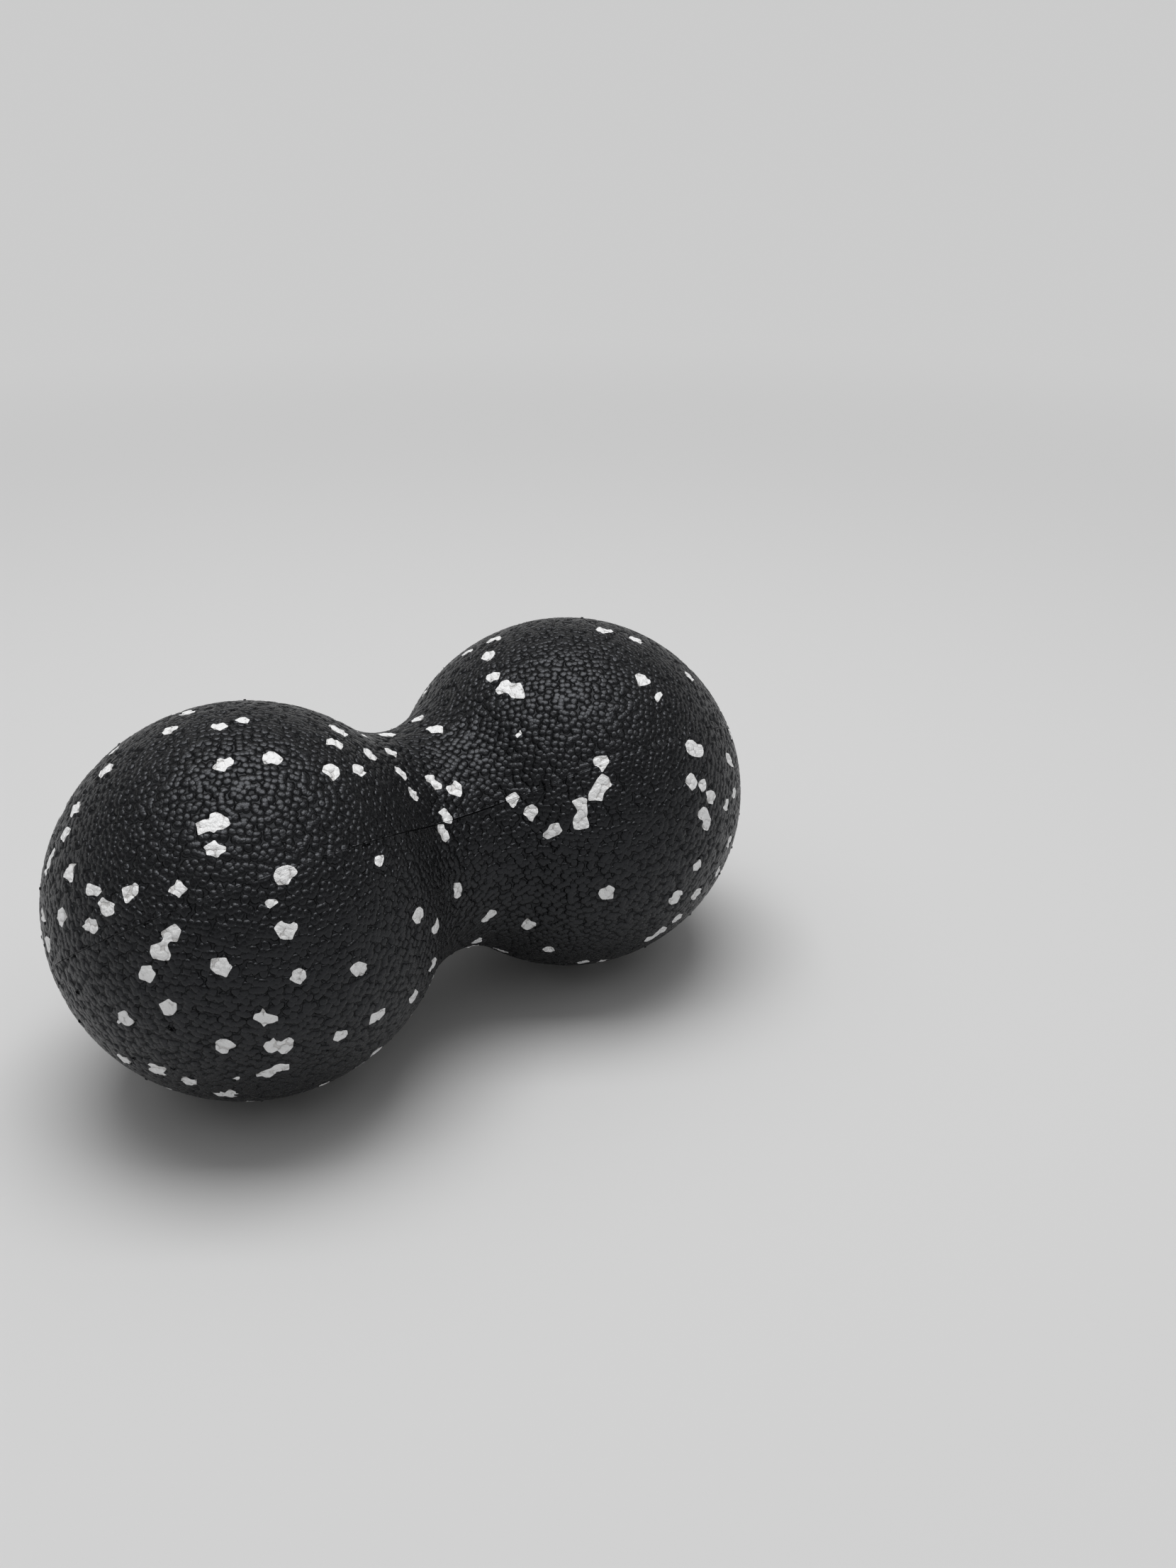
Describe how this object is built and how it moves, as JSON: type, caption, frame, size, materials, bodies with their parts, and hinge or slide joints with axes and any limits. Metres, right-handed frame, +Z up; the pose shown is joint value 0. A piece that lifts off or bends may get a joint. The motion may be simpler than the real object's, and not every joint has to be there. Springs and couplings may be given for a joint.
{
  "type": "peanut massage ball",
  "caption": "Foam balls joined end to end by a hollowed waist in one moulding, rolled along the back, neck or legs to massage the muscles.",
  "frame": {"origin": "on the floor, under the middle of the waist", "axes": "+X along the long axis from one ball to the other, +Z up"},
  "size_m": [0.1598, 0.08, 0.08],
  "materials": {
    "foam": "satin moulded bead foam with a pebbled skin"
  },
  "bodies": {
    "root": {"peanut_ball": "foam"}
  },
  "joints": []
}
